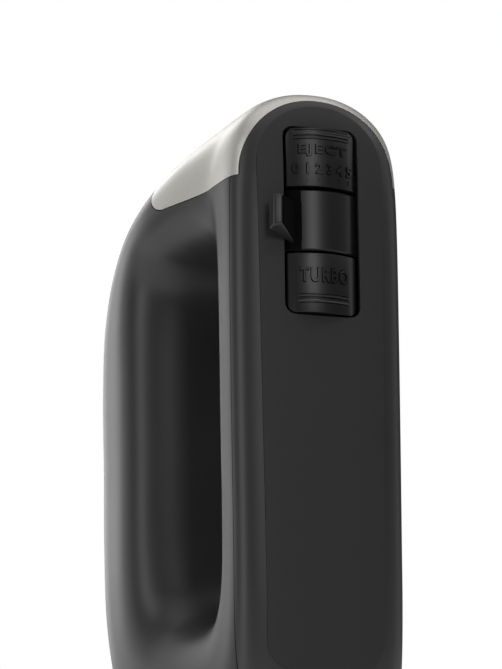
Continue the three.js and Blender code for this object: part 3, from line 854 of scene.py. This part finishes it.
class MixerSockets(bpy.types.Operator):
    """Makes the beater sockets: bosses, bushings and spindles."""

    bl_idname = "mixer.sockets"
    bl_label = "Beater sockets"

    def execute(self, context):
        for word, side in (("left", -1), ("right", 1)):
            at = (side * SPINDLE_X, 0, SPINDLE_Z)
            boss = turned([(SOCKET_BORE, 104), (16, 104), (13.4, 112), (SOCKET_OUTER, 118),
                           (SOCKET_OUTER, SOCKET_Y - 0.8), (11.7, SOCKET_Y), (9.4, SOCKET_Y),
                           (SOCKET_BORE, SOCKET_Y - 0.6)], 64, "y", at)
            new_piece("socket_boss_" + word, boss, FINISHES["shell"], "housing")
            bush = turned([(5.55, 108), (8.5, 108), (8.5, SOCKET_Y - 1), (8.1, SOCKET_Y - 0.6),
                           (6, SOCKET_Y - 0.6), (5.55, SOCKET_Y - 1)], 56, "y", at)
            new_piece("socket_bush_" + word, bush, FINISHES["nylon"], "housing",
                      ("socket_bushing_" + word,))
            tube = turned([(3.5, 80), (5, 80), (5.2, 80.2), (5.2, 96.8), (6.6, 96.8), (6.6, 99), (5.2, 99),
                           (5.2, SOCKET_Y + 1.1), (4.9, SOCKET_Y + 1.5), (4.3, SOCKET_Y + 1.5),
                           (3.5, SOCKET_Y + 0.6)], 48, "y", at)
            new_piece("spindle_" + word, tube, FINISHES["steel"], "beater_drive_" + word,
                      ("beater_spindle_" + word,))
        return {"FINISHED"}


class MixerFittings(bpy.types.Operator):
    """Makes the cord gland, the heel pads and the screws."""

    bl_idname = "mixer.fittings"
    bl_label = "Fittings"

    def execute(self, context):
        profile = [(3.4, 103.5), (7.5, 103.5), (7.5, 107), (4.9, 107), (4.9, 119), (6.2, 119), (6.4, 119.3),
                   (6.4, 120.8), (6, 121.2)]
        for i in range(3):
            y = 121.6 + i * 1.8
            wide = 5.7 - i * 0.4
            profile += [(wide - 0.7, y), (wide, y + 0.35), (wide, y + 1.2), (wide - 0.7, y + 1.5)]
        profile += [(4.2, 127), (3.4, 127)]
        new_piece("gland", turned(profile, 48, "y", (0, 0, INLET_Z)), FINISHES["rubber"], "housing",
                  ("cord_gland",))
        for word, side in (("left", -1), ("right", 1)):
            pad = block((side * PAD_X - PAD_HALF, PAD_SPAN[0], -1), (side * PAD_X + PAD_HALF, PAD_SPAN[1], 1))
            bmesh.ops.bevel(pad, geom=[e for e in pad.edges if abs(e.verts[0].co.z - e.verts[1].co.z) > 1],
                            offset=2.4, segments=6, profile=0.5, affect="EDGES", material=-1)
            bmesh.ops.bevel(pad, geom=[e for e in pad.edges if max(v.co.z for v in e.verts) < 0],
                            offset=0.4, segments=3, profile=0.5, affect="EDGES", material=-1)
            for v in pad.verts:
                v.co.z += (v.co.y - HEEL_FRONT) * math.tan(LEAN)
            new_piece("pad_" + word, outward(pad), FINISHES["rubber"], "housing",
                      ("heel_pad_" + word,))
        for number, (y, z) in enumerate(SCREWS, 1):
            body = turned([(0, -9), (1.2, -8), (1.2, 13.3), (2.8, 13.3), (2.8, 14.8), (2.4, 15.4), (1.2, 15.7),
                           (0.9, 14.4), (0, 14.2)], 32, "x", (0, y, z))
            new_piece("screw_%d" % number, body, FINISHES["steel"], "housing",
                      ("housing_screw_%d" % number,))
            mouth = self.surface_x(y, z)
            sleeve = turned([(SCREW_POCKET, 12.5), (SCREW_POCKET + 1, 12.5), (SCREW_POCKET + 1, mouth),
                             (SCREW_POCKET, mouth)], 28, "x", (0, y, z))
            new_piece("screw_pocket_%d" % number, sleeve, FINISHES["shell"], "housing")
        return {"FINISHED"}

    def surface_x(self, y, z):
        """How far out the right side lies round a screw pocket, at its lowest."""
        lowest = 100.0
        for i in range(400):
            for j in range(4, 92):
                turn, side = i / 400 * math.tau, math.pi * j / 96
                reach = 2 + math.cos(side)
                p = skin_point(Vector((reach * math.cos(turn), reach * math.sin(turn), math.sin(side))))
                if p.x > 14 and math.hypot(p.y - y, p.z - z) < 4.4:
                    lowest = min(lowest, p.x)
        return lowest - 0.3


class MixerStage(bpy.types.Operator):
    """Makes the floor, the lights and the camera."""

    bl_idname = "mixer.stage"
    bl_label = "Stage"

    def execute(self, context):
        bm = bmesh.new()
        bmesh.ops.create_circle(bm, cap_ends=True, segments=96, radius=0.8)
        mesh = bpy.data.meshes.new("floor")
        bm.to_mesh(mesh)
        bm.free()
        floor = bpy.data.objects.new("floor", mesh)
        context.scene.collection.objects.link(floor)
        pale = Finish("pale_floor")
        speck = pale.noise(3.0)
        mesh.materials.append(pale.set(Base_Color=pale.mix(speck, (0.86, 0.86, 0.86, 1), (0.9, 0.9, 0.9, 1)),
                                       Roughness=0.7, Emission_Color=(1, 1, 1, 1), Emission_Strength=0.4))
        self.backdrop(context)
        self.light("rear", (-0.2, 1.2, 0.35), (0.36, 1.4), 6)
        self.light("left_rear", (-0.75, 1.0, 0.4), (0.8, 1.4), 2.8)
        self.light("left", (-1.15, -0.35, 0.45), (0.5, 1.1), 4.5)
        self.light("front", (-0.03, -1.1, 0.72), (0.3, 0.5), 2.5)
        self.light("right", (1.1, -0.1, 0.4), (0.3, 1.1), 1.1)
        self.light("ceiling", (0, 0, 2.5), (3, 3), 30)
        self.light("top_right", (0.75, -0.3, 1.0), (0.25, 0.25), 1.4)
        self.camera(context)
        context.scene.view_settings.view_transform = "Standard"
        return {"FINISHED"}

    def backdrop(self, context):
        """White behind the mixer, and only a dim surround in its reflections."""
        world = bpy.data.worlds.new("studio")
        world.use_nodes = True
        tree = world.node_tree
        surround = tree.nodes["Background"]
        surround.inputs["Color"].default_value = (1, 1, 1, 1)
        surround.inputs["Strength"].default_value = 0.07
        white = tree.nodes.new("ShaderNodeBackground")
        white.inputs["Color"].default_value = (1, 1, 1, 1)
        seen = tree.nodes.new("ShaderNodeLightPath")
        choice = tree.nodes.new("ShaderNodeMixShader")
        tree.links.new(seen.outputs["Is Camera Ray"], choice.inputs[0])
        tree.links.new(surround.outputs[0], choice.inputs[1])
        tree.links.new(white.outputs[0], choice.inputs[2])
        tree.links.new(choice.outputs[0], tree.nodes["World Output"].inputs["Surface"])
        context.scene.world = world

    def light(self, name, place, size, power):
        lamp = bpy.data.lights.new(name, "AREA")
        lamp.shape = "RECTANGLE"
        lamp.size, lamp.size_y = size
        lamp.energy = power
        holder = bpy.data.objects.new(name, lamp)
        bpy.context.scene.collection.objects.link(holder)
        holder.location = place
        aim = Vector((0, 0, 0.11)) - Vector(place)
        holder.rotation_euler = aim.to_track_quat("-Z", "Y").to_euler()
        holder.visible_camera = False

    def camera(self, context):
        data = bpy.data.cameras.new("view")
        data.lens = 163.5
        data.sensor_width = 36
        data.clip_end = 50
        eye = bpy.data.objects.new("view", data)
        context.scene.collection.objects.link(eye)
        context.scene.camera = eye
        azimuth, elevation = math.radians(-17.93), math.radians(-4.9)
        away = Vector((math.sin(azimuth) * math.cos(elevation), -math.cos(azimuth) * math.cos(elevation),
                       math.sin(elevation)))
        right = Vector((math.cos(azimuth), math.sin(azimuth), 0))
        target = Vector((0, 0, 0.108)) - right * 0.00405 + away.cross(right) * 0.0208
        eye.location = target + away * 0.95
        roll = Matrix.Rotation(math.radians(2.472), 3, "Z")
        eye.rotation_euler = ((-away).to_track_quat("-Z", "Y").to_matrix() @ roll).to_euler()


class MixerPanel(bpy.types.Panel):
    """Lists the mixer's steps."""

    bl_idname = "VIEW3D_PT_hand_mixer"
    bl_label = "Hand Mixer"
    bl_space_type = "VIEW_3D"
    bl_region_type = "UI"
    bl_category = "Hand Mixer"

    def draw(self, context):
        for name in ("around", "across", "wall", "seam", "panel_lift", "lettering"):
            self.layout.prop(context.scene.mixer_sizes, name)
        for name in ("shell", "panel", "silver", "control"):
            self.layout.prop(context.scene.mixer_colours, name)
        for step in STEPS:
            self.layout.operator(step.bl_idname)


STEPS = (MixerFinishes, MixerShells, MixerButtons, MixerSelector, MixerSockets, MixerFittings, MixerStage)
CLASSES = (MixerSizes, MixerColours, *STEPS, MixerPanel)


def register():
    for cls in CLASSES:
        bpy.utils.register_class(cls)
    bpy.types.Scene.mixer_sizes = PointerProperty(type=MixerSizes)
    bpy.types.Scene.mixer_colours = PointerProperty(type=MixerColours)


def unregister():
    del bpy.types.Scene.mixer_colours
    del bpy.types.Scene.mixer_sizes
    for cls in reversed(CLASSES):
        bpy.utils.unregister_class(cls)


def main():
    register()
    bpy.ops.mixer.finishes()
    bpy.ops.mixer.shells()
    bpy.ops.mixer.buttons()
    bpy.ops.mixer.selector()
    bpy.ops.mixer.sockets()
    bpy.ops.mixer.fittings()
    bpy.ops.mixer.stage()
    bpy.context.view_layer.update()


if __name__ == "__main__":
    main()
